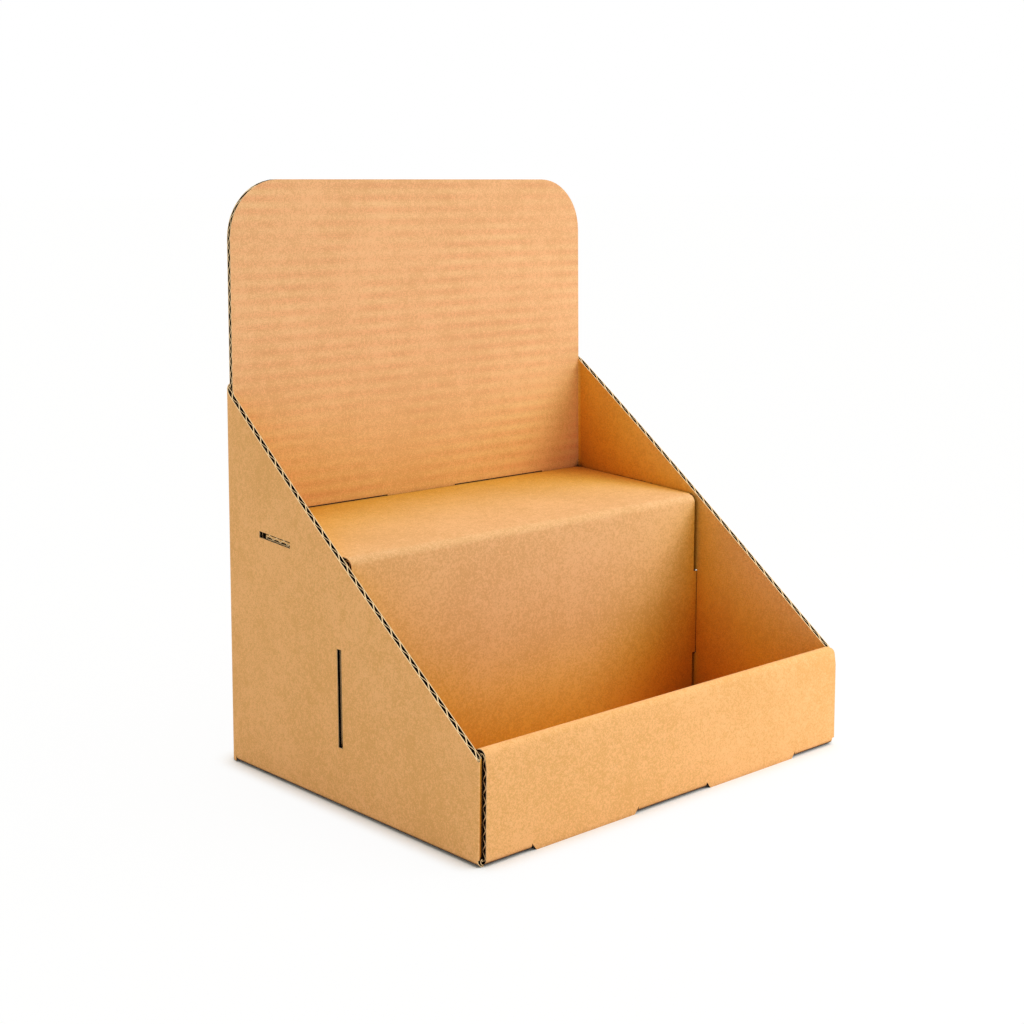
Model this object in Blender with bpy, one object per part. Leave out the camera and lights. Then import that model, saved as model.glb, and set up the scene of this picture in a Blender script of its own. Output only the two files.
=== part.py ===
# Counter display stand folded from corrugated board, with a step insert.
# Lengths are metres. X runs along the front, Y from the front to the back, Z up.
import bpy
import bmesh
from math import copysign, cos, pi, radians, sin, tan
from mathutils import Matrix, Vector
from mathutils.kdtree import KDTree

# Board
BOARD = 0.0030
FOLD_RADIUS = 0.0035
FIT_GAP = 0.0003
FLUTE_PITCH = 0.00635
LINER = 0.0004
MEDIUM = 0.0004
FLUTE_OPEN_SHARE = 0.36
FLUTE_TIP_SHARE = 0.12
CREASE_CRUSH = 0.0050
FLUTE_OVERRUN = 0.0005

# Overall sizes of the folded stand
WIDTH = 0.2502
DEPTH = 0.1965
FRONT_HEIGHT = 0.0522
SIDE_FRONT_HEIGHT = 0.0507
SIDE_REAR_HEIGHT = 0.1911
HEADER_HEIGHT = 0.2932
HEADER_CORNER_RADIUS = 0.0288
SIDE_LEAN = radians(0.75)

# Front wall, rolled over from the outer panel to the inner one
ROLL_DROP = 0.0087
ROLL_LEAN = radians(8.3)
ROLL_SLOPE = radians(22)
ROLL_REAR_RADIUS = 0.0045
FRONT_FLAP_WIDTH = 0.0320
FRONT_FLAP_DROP = 0.0084
FLAP_CHAMFER = 0.0080
LIP_INNER = 0.0240
LIP_OUTER = 0.0923
LIP_SHIFT = 0.0019
LIP_TAPER = 0.0027
TAB_END_GAP = 0.0010

# Side panels
TOE_HEIGHT = 0.0005
REAR_RELIEF = 0.0010
EDGE_LIFT = 0.0004
REAR_FLAP_WIDTH = 0.0290

# Step insert
STEP_FRONT = -0.0010
STEP_HEIGHT = 0.1203
STEP_SLOPE = radians(3.2)
STEP_FOLD_RADIUS = 0.0045
STEP_CORNER_RADIUS = 0.0050
RISER_INSET = 0.0025
SHELF_INSET = 0.0004
TAB_RECESS = 0.0005
RISER_TAB_LOW = 0.0301
RISER_TAB_HIGH = 0.0770
SHELF_TAB_FRONT = 0.0384
SHELF_TAB_REAR = 0.0590
REAR_TAB_INNER = 0.0257
REAR_TAB_OUTER = 0.0915

# Slots in the sides and in the back panel
SLOT_GAP = 0.0003
SHELF_SLOT_SPARE = 0.0054
REAR_SLOT_SPARE = 0.0007
SLOT_END_GAP = 0.0005
CUT_OVERRUN = 0.0020

# Mesh fineness
WELD = 0.000001
FOLD_STEPS = 8
CORNER_STEPS = 10
SMOOTH_ANGLE = radians(35)

# Places that follow from the sizes above
HALF_WIDTH = WIDTH / 2
SIDE_INNER = HALF_WIDTH - BOARD
PANEL_HALF = SIDE_INNER - FIT_GAP
BASE_HALF = HALF_WIDTH - FOLD_RADIUS
FRONT_HALF = BASE_HALF - FIT_GAP
FRONT_Y = -DEPTH / 2
REAR_Y = DEPTH / 2
FRONT_FOLD_Y = FRONT_Y + FOLD_RADIUS
FLAP_Y = FRONT_Y + BOARD + FIT_GAP
INNER_WALL_Y = FLAP_Y + BOARD + FIT_GAP
INNER_WALL_BACK = INNER_WALL_Y + BOARD
SIDE_FRONT_Y = FLAP_Y + FOLD_RADIUS
SIDE_REAR_Y = REAR_Y - FOLD_RADIUS
BACK_OUTER_Y = REAR_Y - BOARD - FIT_GAP
BACK_Y = BACK_OUTER_Y - BOARD
BASE_REAR_Y = BACK_OUTER_Y - FOLD_RADIUS
FLAP_LOW = FOLD_RADIUS + TOE_HEIGHT + FIT_GAP
FLAP_TOP = FRONT_HEIGHT - FRONT_FLAP_DROP
ROLL_START = FRONT_HEIGHT - ROLL_DROP


def place(axis, a, b, along):
    """Returns the point whose coordinate on the axis is along and whose other two are a and b."""
    if axis == "X":
        return Vector((along, a, b))
    if axis == "Y":
        return Vector((a, along, b))
    return Vector((a, b, along))


def prism(bm, axis, outline, low, high, matrix=None):
    """Adds a closed solid: the outline, drawn square to the axis, stretched from low to high.
    Returns the corners of its high end."""
    matrix = matrix or Matrix()
    rings = [[bm.verts.new(matrix @ place(axis, a, b, along)) for a, b in outline]
             for along in (low, high)]
    bm.faces.new(rings[0])
    bm.faces.new(rings[1])
    for i in range(len(outline)):
        j = (i + 1) % len(outline)
        bm.faces.new((rings[0][i], rings[0][j], rings[1][j], rings[1][i]))
    return rings[1]


def on_circle(centre, radius, angle):
    """Returns the point on a circle at an angle."""
    return centre[0] + radius * cos(angle), centre[1] + radius * sin(angle)


def arc(centre, radius, start, end, steps):
    """Returns points on a circle from the start angle to the end angle, both included."""
    return [on_circle(centre, radius, start + (end - start) * i / steps) for i in range(steps + 1)]


def fold_section(centre, outer, start, end):
    """Returns the section of one fold: the board bent around the centre."""
    outside = arc(centre, outer, start, end, FOLD_STEPS)
    inside = arc(centre, outer - BOARD, end, start, FOLD_STEPS)
    return outside + inside


def mirrored(outline, side):
    """Returns the outline with its first coordinate times side, which is 1 or -1."""
    return [(side * a, b) for a, b in outline]


def both_halves(right, left=None):
    """Joins the right half of an outline, from bottom to top, with the left one, which is drawn
    as its own mirror image and is the same as the right one unless it is given."""
    return right + [(-a, b) for a, b in reversed(left or right)]


def lean_in(bm):
    """Leans the right half of the solids in to the left, and the left half in to the right."""
    for vert in bm.verts:
        vert.co.x -= copysign(vert.co.z * tan(SIDE_LEAN), vert.co.x)


def weld(bm):
    """Drops each pair of faces that meet inside the board and merges their corners."""
    bm.faces.ensure_lookup_table()
    tree = KDTree(len(bm.faces))
    for i, face in enumerate(bm.faces):
        tree.insert(face.calc_center_median(), i)
    tree.balance()
    inner = [face for face in bm.faces
             if len(tree.find_range(face.calc_center_median(), WELD)) > 1]
    bmesh.ops.delete(bm, geom=inner, context="FACES_ONLY")
    bmesh.ops.remove_doubles(bm, verts=bm.verts, dist=WELD)
    bmesh.ops.recalc_face_normals(bm, faces=bm.faces)


def lip_ends(side):
    """Returns how far the lip of a side starts and ends from the middle of the stand."""
    return LIP_INNER - side * LIP_SHIFT, LIP_OUTER - side * LIP_SHIFT


def base_half(side):
    """Returns half of the base, with the notch in its front edge for a tab of the inner wall."""
    inner, outer = lip_ends(side)
    notch_back = INNER_WALL_BACK + FIT_GAP
    return [(inner, FRONT_FOLD_Y), (inner, notch_back), (outer, notch_back),
            (outer, FRONT_FOLD_Y), (FRONT_HALF, FRONT_FOLD_Y),
            (BASE_HALF, FRONT_FOLD_Y), (BASE_HALF, BASE_REAR_Y)]


def add_base(bm):
    """Base panel."""
    prism(bm, "Z", both_halves(base_half(1), base_half(-1)), 0, BOARD)


def side_height(y):
    """Returns the height of the side's sloping top edge at a place along the depth."""
    rise = (SIDE_REAR_HEIGHT - SIDE_FRONT_HEIGHT) / (SIDE_REAR_Y - SIDE_FRONT_Y)
    return SIDE_FRONT_HEIGHT + (y - SIDE_FRONT_Y) * rise


def add_side(bm, side):
    """Side panel with its bottom fold, its trapped front flap and its rear flap."""
    faces = sorted((side * SIDE_INNER, side * HALF_WIDTH))
    relief_y = BASE_REAR_Y + REAR_RELIEF
    toe_top = FOLD_RADIUS + TOE_HEIGHT
    outline = [(FRONT_FOLD_Y, FOLD_RADIUS), (BASE_REAR_Y, FOLD_RADIUS),
               (relief_y, FOLD_RADIUS), (relief_y, EDGE_LIFT),
               (SIDE_REAR_Y, EDGE_LIFT), (SIDE_REAR_Y, SIDE_REAR_HEIGHT),
               (SIDE_FRONT_Y, SIDE_FRONT_HEIGHT), (SIDE_FRONT_Y, FLAP_TOP),
               (SIDE_FRONT_Y, FLAP_LOW), (SIDE_FRONT_Y, toe_top), (FRONT_FOLD_Y, toe_top)]
    prism(bm, "X", outline, *faces)

    bottom = fold_section((BASE_HALF, FOLD_RADIUS), FOLD_RADIUS, -pi / 2, 0)
    prism(bm, "Y", mirrored(bottom, side), FRONT_FOLD_Y, BASE_REAR_Y)

    front = fold_section((BASE_HALF, SIDE_FRONT_Y), FOLD_RADIUS, -pi / 2, 0)
    prism(bm, "Z", mirrored(front, side), FLAP_LOW, FLAP_TOP)
    for vert in prism(bm, "Z", mirrored(front, side), FLAP_TOP, SIDE_FRONT_HEIGHT):
        vert.co.z = side_height(vert.co.y)
    flap = flap_outline(FRONT_FLAP_WIDTH, FLAP_LOW, FLAP_TOP)
    prism(bm, "Y", mirrored(flap, side), FLAP_Y, FLAP_Y + BOARD)

    rear = fold_section((BASE_HALF, SIDE_REAR_Y), FOLD_RADIUS, 0, pi / 2)
    prism(bm, "Z", mirrored(rear, side), EDGE_LIFT, SIDE_REAR_HEIGHT)
    flap = flap_outline(REAR_FLAP_WIDTH, EDGE_LIFT, SIDE_REAR_HEIGHT)
    prism(bm, "Y", mirrored(flap, side), REAR_Y - BOARD, REAR_Y)


def flap_outline(width, low, high):
    """Returns a flap's outline, with its free corners cut off."""
    free = HALF_WIDTH - width
    return [(BASE_HALF, low), (BASE_HALF, high), (free + FLAP_CHAMFER, high),
            (free, high - FLAP_CHAMFER), (free, low + FLAP_CHAMFER), (free + FLAP_CHAMFER, low)]


def add_back(bm):
    """Back panel that stands up from the base and ends in the rounded header."""
    fold = fold_section((BASE_REAR_Y, FOLD_RADIUS), FOLD_RADIUS, -pi / 2, 0)
    prism(bm, "X", fold, -BASE_HALF, BASE_HALF)
    corner = (PANEL_HALF - HEADER_CORNER_RADIUS, HEADER_HEIGHT - HEADER_CORNER_RADIUS)
    right = [(BASE_HALF, FOLD_RADIUS), (PANEL_HALF, FOLD_RADIUS)]
    right += arc(corner, HEADER_CORNER_RADIUS, 0, pi / 2, CORNER_STEPS)
    prism(bm, "Y", both_halves(right), BACK_Y, BACK_OUTER_Y)


def front_half(side):
    """Returns half of the outer front panel, with its lip."""
    inner, outer = lip_ends(side)
    return [(inner, FOLD_RADIUS), (inner + LIP_TAPER, 0), (outer - LIP_TAPER, 0),
            (outer, FOLD_RADIUS), (FRONT_HALF, FOLD_RADIUS), (FRONT_HALF, ROLL_START)]


def add_front(bm):
    """Front wall: outer panel with two lips, rolled top and inner panel with two tabs."""
    prism(bm, "Y", both_halves(front_half(1), front_half(-1)), FRONT_Y, FRONT_Y + BOARD)
    fold = fold_section((FRONT_FOLD_Y, FOLD_RADIUS), FOLD_RADIUS, pi, 1.5 * pi)
    left, right = lip_ends(-1), lip_ends(1)
    for low, high in ((-FRONT_HALF, -left[1]), (-left[0], right[0]), (right[1], FRONT_HALF)):
        prism(bm, "X", fold, low, high)

    first, last = roll_centres()
    start, end = pi - ROLL_LEAN, pi / 2 - ROLL_SLOPE
    over = [(FRONT_Y, ROLL_START)] + arc(first, FOLD_RADIUS, start, end, FOLD_STEPS)
    over += [on_circle(last, ROLL_REAR_RADIUS, end), on_circle(last, ROLL_REAR_RADIUS - BOARD, end)]
    over += arc(first, FOLD_RADIUS - BOARD, end, start, FOLD_STEPS)
    prism(bm, "X", over + [(FRONT_Y + BOARD, ROLL_START)], -FRONT_HALF, FRONT_HALF)
    prism(bm, "X", fold_section(last, ROLL_REAR_RADIUS, end, 0), -FRONT_HALF, FRONT_HALF)
    inner_wall = both_halves(inner_wall_half(1, last[1]), inner_wall_half(-1, last[1]))
    prism(bm, "Y", inner_wall, INNER_WALL_Y, INNER_WALL_BACK)


def roll_centres():
    """Returns the centres, along the depth and up, of the two bends of the rolled top."""
    rise = ROLL_DROP - FOLD_RADIUS
    first = (FRONT_Y + (FOLD_RADIUS + rise * sin(ROLL_LEAN)) / cos(ROLL_LEAN),
             FRONT_HEIGHT - FOLD_RADIUS)
    last_y = INNER_WALL_BACK - ROLL_REAR_RADIUS
    growth = ROLL_REAR_RADIUS - FOLD_RADIUS
    fall = (growth + (last_y - first[0]) * sin(ROLL_SLOPE)) / cos(ROLL_SLOPE)
    return first, (last_y, first[1] - fall)


def inner_wall_half(side, top):
    """Returns half of the inner front panel, with its tab that stands in the base's notch."""
    inner, outer = lip_ends(side)
    foot = BOARD + FIT_GAP
    return [(inner + TAB_END_GAP, foot), (inner + TAB_END_GAP, EDGE_LIFT),
            (outer - TAB_END_GAP, EDGE_LIFT), (outer - TAB_END_GAP, foot),
            (FRONT_HALF, foot), (FRONT_HALF, top)]


def step_frame():
    """Returns the fold centre of the step and the matrix of the tilted shelf's upper face."""
    centre = (STEP_FRONT + STEP_FOLD_RADIUS, STEP_HEIGHT - STEP_FOLD_RADIUS)
    tilt = Matrix.Rotation(STEP_SLOPE, 4, "X")
    origin = Vector((0, centre[0], centre[1])) + tilt @ Vector((0, 0, STEP_FOLD_RADIUS))
    return centre, Matrix.Translation(origin) @ tilt


def shelf_length(y):
    """Returns the distance along the tilted shelf from its fold to a place along the depth."""
    centre, frame = step_frame()
    return (y - frame.translation.y) / cos(STEP_SLOPE)


def step_corner(inner, outer):
    """Returns the rounded front corner of the shelf, from the inner half width to the outer one."""
    angles = [pi / 2 * i / FOLD_STEPS for i in range(FOLD_STEPS + 1)]
    return [(inner + (outer - inner) * sin(t), STEP_CORNER_RADIUS * (1 - cos(t))) for t in angles]


def add_step(bm):
    """Step insert: riser with two side tabs, round fold and shelf with four tabs."""
    riser_half = SIDE_INNER - RISER_INSET
    tab_end = HALF_WIDTH - TAB_RECESS
    centre, frame = step_frame()
    right = [(riser_half, BOARD + FIT_GAP), (riser_half, RISER_TAB_LOW), (tab_end, RISER_TAB_LOW),
             (tab_end, RISER_TAB_HIGH), (riser_half, RISER_TAB_HIGH), (riser_half, centre[1])]
    prism(bm, "Y", both_halves(right), STEP_FRONT, STEP_FRONT + BOARD)

    fold = fold_section(centre, STEP_FOLD_RADIUS, pi, pi / 2 + STEP_SLOPE)
    prism(bm, "X", fold, -riser_half, riser_half)

    shelf_half = SIDE_INNER - SHELF_INSET
    front_tab, rear_tab = shelf_length(SHELF_TAB_FRONT), shelf_length(SHELF_TAB_REAR)
    shoulder = shelf_length(BACK_Y - FIT_GAP)
    rear_end = shelf_length(BACK_OUTER_Y - TAB_RECESS)
    right = step_corner(riser_half, shelf_half)
    right += [(shelf_half, front_tab), (tab_end, front_tab), (tab_end, rear_tab),
              (shelf_half, rear_tab), (shelf_half, shoulder), (REAR_TAB_OUTER, shoulder),
              (REAR_TAB_OUTER, rear_end), (REAR_TAB_INNER, rear_end), (REAR_TAB_INNER, shoulder)]
    prism(bm, "Z", both_halves(right), -BOARD, 0, frame)


def add_slots(bm):
    """Cutting solids for the slots that take the tabs of the step insert."""
    reach = HALF_WIDTH + CUT_OVERRUN
    low, high = RISER_TAB_LOW - SLOT_END_GAP, RISER_TAB_HIGH + SLOT_END_GAP
    near, far = STEP_FRONT - SLOT_GAP, STEP_FRONT + BOARD + SLOT_GAP
    prism(bm, "X", [(near, low), (far, low), (far, high), (near, high)], -reach, reach)

    centre, frame = step_frame()
    near = shelf_length(SHELF_TAB_FRONT) - SLOT_END_GAP
    far = shelf_length(SHELF_TAB_REAR) + SHELF_SLOT_SPARE
    low, high = -BOARD - SLOT_GAP, SLOT_GAP
    prism(bm, "X", [(near, low), (far, low), (far, high), (near, high)], -reach, reach, frame)

    near, far = shelf_length(BACK_Y) - CUT_OVERRUN, shelf_length(BACK_OUTER_Y) + CUT_OVERRUN
    inner, outer = REAR_TAB_INNER - SLOT_END_GAP, REAR_TAB_OUTER + SLOT_END_GAP
    for side in (1, -1):
        ends = sorted((side * inner, side * outer))
        section = [(near, low), (far, low), (far, REAR_SLOT_SPARE), (near, REAR_SLOT_SPARE)]
        prism(bm, "X", section, *ends, frame)


def flute_channels(start, end):
    """Returns the sections of the hollows on both sides of the wave, as places along the board
    and depths into it, centred on a stretch of board from start to end."""
    wide, tip = FLUTE_PITCH * FLUTE_OPEN_SHARE, FLUTE_PITCH * FLUTE_TIP_SHARE
    step = FLUTE_PITCH / 2
    count = 1 + int((end - start - 2 * wide) / step)
    first = (start + end - (count - 1) * step) / 2
    channels = []
    for i in range(count):
        s = first + i * step
        base, top = LINER, BOARD - LINER - MEDIUM
        if i % 2:
            base, top = BOARD - base, BOARD - top
        channels.append([(s - wide, base), (s + wide, base), (s + tip, top), (s - tip, top)])
    return channels


def add_stand_flutes(bm):
    """Hollows of the stand's board: upright in the sides and flaps, level in the back and front."""
    reach = PANEL_HALF + FIT_GAP / 2
    for channel in flute_channels(FOLD_RADIUS, HEADER_HEIGHT):
        prism(bm, "X", [(BACK_Y + w, s) for s, w in channel], -reach, reach)
    reach = FRONT_HALF + FLUTE_OVERRUN
    for channel in flute_channels(FOLD_RADIUS, ROLL_START):
        prism(bm, "X", [(FRONT_Y + w, s) for s, w in channel], -reach, reach)
    for channel in flute_channels(BOARD + FIT_GAP, roll_centres()[1][1]):
        prism(bm, "X", [(INNER_WALL_Y + w, s) for s, w in channel], -reach, reach)
    for side in (1, -1):
        add_side_flutes(bm, side)


def add_side_flutes(bm, side):
    """Hollows of one side panel and its two flaps."""
    for channel in flute_channels(SIDE_FRONT_Y + LINER, SIDE_REAR_Y):
        prism(bm, "Z", [(side * (SIDE_INNER + w), s) for s, w in channel],
              FOLD_RADIUS + CREASE_CRUSH, SIDE_REAR_HEIGHT + FLUTE_OVERRUN)
    for channel in flute_channels(HALF_WIDTH - FRONT_FLAP_WIDTH, BASE_HALF):
        prism(bm, "Z", [(side * s, FLAP_Y + w) for s, w in channel],
              FLAP_LOW - FLUTE_OVERRUN, FLAP_TOP + FLUTE_OVERRUN)
    for channel in flute_channels(HALF_WIDTH - REAR_FLAP_WIDTH, BASE_HALF):
        prism(bm, "Z", [(side * s, REAR_Y - BOARD + w) for s, w in channel],
              EDGE_LIFT - FLUTE_OVERRUN, SIDE_REAR_HEIGHT + FLUTE_OVERRUN)


def add_step_flutes(bm):
    """Hollows of the insert's board, level in its riser and shelf."""
    centre, frame = step_frame()
    for channel in flute_channels(BOARD + FIT_GAP, centre[1]):
        prism(bm, "X", [(STEP_FRONT + w, s) for s, w in channel], -HALF_WIDTH, HALF_WIDTH)
    for channel in flute_channels(0, shelf_length(BACK_Y - FIT_GAP)):
        prism(bm, "X", [(s, w - BOARD) for s, w in channel], -HALF_WIDTH, HALF_WIDTH, frame)


def kraft(name, colour):
    """Returns a plain unbleached kraft board material."""
    material = bpy.data.materials.new(name)
    material.use_nodes = True
    shader = material.node_tree.nodes["Principled BSDF"]
    shader.inputs["Base Color"].default_value = colour
    shader.inputs["Roughness"].default_value = 0.85
    shader.inputs["Metallic"].default_value = 0.0
    material.diffuse_color = colour
    return material


def solid_object(name, builder, material=None):
    """Makes an object from the solids that the builder adds, welded into one mesh."""
    bm = bmesh.new()
    builder(bm)
    lean_in(bm)
    weld(bm)
    mesh = bpy.data.meshes.new(name)
    bm.to_mesh(mesh)
    bm.free()
    for polygon in mesh.polygons:
        polygon.use_smooth = True
    mesh.set_sharp_from_angle(angle=SMOOTH_ANGLE)
    if material:
        mesh.materials.append(material)
    obj = bpy.data.objects.new(name, mesh)
    bpy.context.scene.collection.objects.link(obj)
    return obj


def cut(obj, cutter):
    """Cuts the cutter's solids out of the object and hides the cutter."""
    modifier = obj.modifiers.new(cutter.name, "BOOLEAN")
    modifier.operation = "DIFFERENCE"
    modifier.solver = "EXACT"
    modifier.object = cutter
    cutter.hide_render = True
    cutter.display_type = "WIRE"


def add_stand(bm):
    """The whole folded sheet."""
    add_base(bm)
    add_side(bm, 1)
    add_side(bm, -1)
    add_back(bm)
    add_front(bm)


for old in list(bpy.data.objects):
    bpy.data.objects.remove(old, do_unlink=True)

folded_stand = solid_object("folded_stand", add_stand, kraft("kraft_stand", (0.72, 0.46, 0.24, 1.0)))
step_insert = solid_object("step_insert", add_step, kraft("kraft_step", (0.75, 0.49, 0.26, 1.0)))
cut(folded_stand, solid_object("stand_flute_cutter", add_stand_flutes))
cut(folded_stand, solid_object("slot_cutter", add_slots))
cut(step_insert, solid_object("step_flute_cutter", add_step_flutes))
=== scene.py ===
# Looks of the cardboard display stand: corrugated board with its liners and fluting, floor, light.
from collections import namedtuple
from math import asin, copysign, cos, pi, radians, sin, sqrt, tan
from random import Random

import bmesh
import bpy
from mathutils import Matrix, Vector

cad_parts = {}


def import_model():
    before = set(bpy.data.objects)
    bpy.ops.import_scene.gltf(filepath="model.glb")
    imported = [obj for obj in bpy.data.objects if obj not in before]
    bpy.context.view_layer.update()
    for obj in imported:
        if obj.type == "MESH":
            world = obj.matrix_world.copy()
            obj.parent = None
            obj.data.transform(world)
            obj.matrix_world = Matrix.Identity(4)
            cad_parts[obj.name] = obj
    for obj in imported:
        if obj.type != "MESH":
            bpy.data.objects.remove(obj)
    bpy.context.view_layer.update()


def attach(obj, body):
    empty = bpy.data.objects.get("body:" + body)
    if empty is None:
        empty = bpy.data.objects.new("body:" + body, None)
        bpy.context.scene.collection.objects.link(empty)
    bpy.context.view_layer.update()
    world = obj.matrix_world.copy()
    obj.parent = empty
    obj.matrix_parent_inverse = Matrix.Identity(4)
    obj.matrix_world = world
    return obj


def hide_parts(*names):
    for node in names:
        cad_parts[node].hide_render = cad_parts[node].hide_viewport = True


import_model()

# Board, in metres
BOARD = 0.0030
FOLD_RADIUS = 0.0035
FIT_GAP = 0.0003
LINER = 0.00042
MEDIUM = 0.00050
PITCH = 0.00635
TOUCH = 0.00001
FOLD_CRUSH, SIDE_FOLD_CRUSH, STEP_FOLD_CRUSH = 0.2, 0.15, 0.15
ROLL_FRONT_CRUSH, ROLL_REAR_CRUSH = 0.12, 0.1

# The wave between the liners: how close it comes to a zigzag, and how uneven its pitch is
WAVE_SHARPNESS = 0.94
WAVE_JITTER = 0.05
WAVE_DRAWS = 400

# Fineness of the meshes
WAVE_STEPS = 12
LINER_FOLD_STEPS, WAVE_FOLD_STEPS = 8, 10
ROLL_MORE_STEPS, STEP_FOLD_MORE_STEPS = 4, 2
LEAN_STEPS, TURN_IN_STEPS = 3, 4
ARC_STEPS = 12
SHORTEST_STEP = 0.00002
WELD_CELLS = 4e6
SHARP_ANGLE = radians(40)

# Stand; half its width is 0.01 mm less than the solids', so that it stays inside their box
HALF_WIDTH = 0.12509
SIDE_INNER = HALF_WIDTH - BOARD
HEADER_GAP = 0.00005
PANEL_HALF = SIDE_INNER - HEADER_GAP
BASE_HALF = HALF_WIDTH - FOLD_RADIUS
FRONT_HALF = BASE_HALF - FIT_GAP
SIDE_LEAN = radians(0.75)
FRONT_Y = -0.09825
REAR_Y = 0.09825
FRONT_FOLD_Y = FRONT_Y + FOLD_RADIUS
FLAP_Y = FRONT_Y + BOARD + FIT_GAP
INNER_WALL_BACK = FLAP_Y + 2 * BOARD + FIT_GAP
SIDE_FRONT_Y = FLAP_Y + FOLD_RADIUS
SIDE_REAR_Y = REAR_Y - FOLD_RADIUS
BACK_OUTER_Y = REAR_Y - BOARD - FIT_GAP
BACK_Y = BACK_OUTER_Y - BOARD
BASE_REAR_Y = BACK_OUTER_Y - FOLD_RADIUS
FRONT_HEIGHT = 0.0522
ROLL_DROP = 0.0087
ROLL_START = FRONT_HEIGHT - ROLL_DROP
ROLL_LEAN = radians(8.3)
ROLL_SLOPE = radians(22)
ROLL_REAR_RADIUS = 0.0045
LEAN_RADIUS = 0.0100
SIDE_FRONT_HEIGHT = 0.0519
SIDE_REAR_HEIGHT = 0.1911
REAR_CORNER_RADIUS = 0.0080
RIGHT_END_INSET = 0.0023
RIGHT_END = HALF_WIDTH - RIGHT_END_INSET
RIGHT_END_ROUNDING = 0.0035
HEADER_HEIGHT = 0.2932
HEADER_RADIUS = 0.0288
LIP_INNER, LIP_OUTER, LIP_SHIFT, LIP_TAPER = 0.0240, 0.0923, 0.0019, 0.0027
TAB_END_GAP = 0.0010
EDGE_LIFT = 0.0004
REAR_RELIEF = 0.0010
FLAP_LOW, FLAP_TOP = 0.0043, 0.0438
FLAP_CHAMFER = 0.0080
FRONT_FLAP_WIDTH, REAR_FLAP_WIDTH = 0.0320, 0.0290

# The pinched front corner of the left side, which comes forward beside the front wall
CORNER_Y = -0.0971
CORNER_RADIUS = 0.0006
CORNER_CRUSH = 0.85
CORNER_TURN = radians(48)
TURN_IN_RADIUS = 0.0005
CORNER_MARK = 0.0008

# Step
STEP_FRONT = -0.0010
STEP_HEIGHT = 0.1203
STEP_SLOPE = radians(3.2)
STEP_RADIUS = 0.0045
STEP_CORNER = 0.0050
LEFT_STEP_CORNER = 0.0110
RISER_INSET, LEFT_RISER_INSET, LEFT_FOLD_INSET, SHELF_INSET = 0.0025, 0.0040, 0.0022, 0.0004
RISER_HALF = SIDE_INNER - RISER_INSET
LEFT_RISER_HALF = SIDE_INNER - LEFT_RISER_INSET
LEFT_FOLD_HALF = SIDE_INNER - LEFT_FOLD_INSET
SHELF_HALF = SIDE_INNER - SHELF_INSET
RISER_TAB_RECESS, SHELF_TAB_RECESS, REAR_TAB_RECESS = 0.0022, 0.0010, 0.0005
RISER_TAB_END = HALF_WIDTH - RISER_TAB_RECESS
SHELF_TAB_END = HALF_WIDTH - SHELF_TAB_RECESS
RISER_TAB = (0.0301, 0.0770)
SHELF_TAB = (0.0392, 0.0605)
REAR_TAB = (0.0257, 0.0915)
TAB_CORE, TAB_CORE_DEPTHS = 0.0015, (0.0008, 0.0018)
SLOT_GAP, SLOT_END_GAP = 0.0003, 0.0005
SHELF_SLOT_SPARE, REAR_SLOT_SPARE = 0.0047, 0.0005
WINDOW_GAP, RIGHT_WINDOW_GAP = 0.0001, 0.00025
RIGHT_SLIT_Y, RIGHT_SLIT_GAP = (0.0333, 0.0354), 0.0003
SHELF_Y = STEP_FRONT + STEP_RADIUS - sin(STEP_SLOPE) * STEP_RADIUS
SHELF_Z = STEP_HEIGHT - STEP_RADIUS + cos(STEP_SLOPE) * STEP_RADIUS

# The last material, for the fluting and the liners' faces towards it, is painted near black as the
# shade inside the flutes
FACE, BACK_FACE, CUT, FLUTE_SHADE = range(4)
Row = namedtuple("Row", "point normal run tag travel crush")


def shelf_top(y):
    """Returns the height of the shelf's upper face at a place along the depth."""
    return SHELF_Z + (y - SHELF_Y) * tan(STEP_SLOPE)


class Path:
    """The outer face of a folded board, drawn in a plane square to its folds. Its folds go to the
    left, or with turn -1 to the right, and the board lies on that hand of it. A negative radius
    and angle fold it the other way."""

    def __init__(self, a, b, heading, turn=1):
        self.point = Vector((a, b))
        self.heading = heading
        self.turn = turn
        self.run = 0.0
        self.rows = []
        self.add("start", 0.0, 0.0)

    def outward(self):
        return Vector((sin(self.heading), -cos(self.heading))) * self.turn

    def add(self, tag, travel, crush):
        self.rows.append(Row(self.point.copy(), self.outward(), self.run, tag, travel, crush))

    def straight(self, length, tag, step, marks=()):
        """Goes straight on; marks are travels at which a sample must lie."""
        origin, start_run = self.point.copy(), self.run
        direction = Vector((cos(self.heading), sin(self.heading)))
        stops = {round(m, 7) for m in marks if 0 < m < length} | {round(length, 7)}
        count = max(1, round(length / step))
        stops |= {round(length * i / count, 7) for i in range(1, count)}
        last = 0.0
        for travel in sorted(stops):
            if travel - last < SHORTEST_STEP:
                continue
            self.point = origin + direction * travel
            self.run = start_run + travel
            self.add(tag, travel, 0.0)
            last = travel

    def bend(self, radius, angle, tag, count, crush=0.0):
        """Turns about a centre on the inner side of the board."""
        start, start_run = self.heading, self.run
        centre = self.point - self.outward() * radius
        for i in range(1, count + 1):
            self.heading = start + self.turn * angle * i / count
            self.point = centre + self.outward() * radius
            self.run = start_run + (radius - BOARD / 2) * angle * i / count
            self.add(tag, i / count, crush * sin(pi * i / count))


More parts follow.
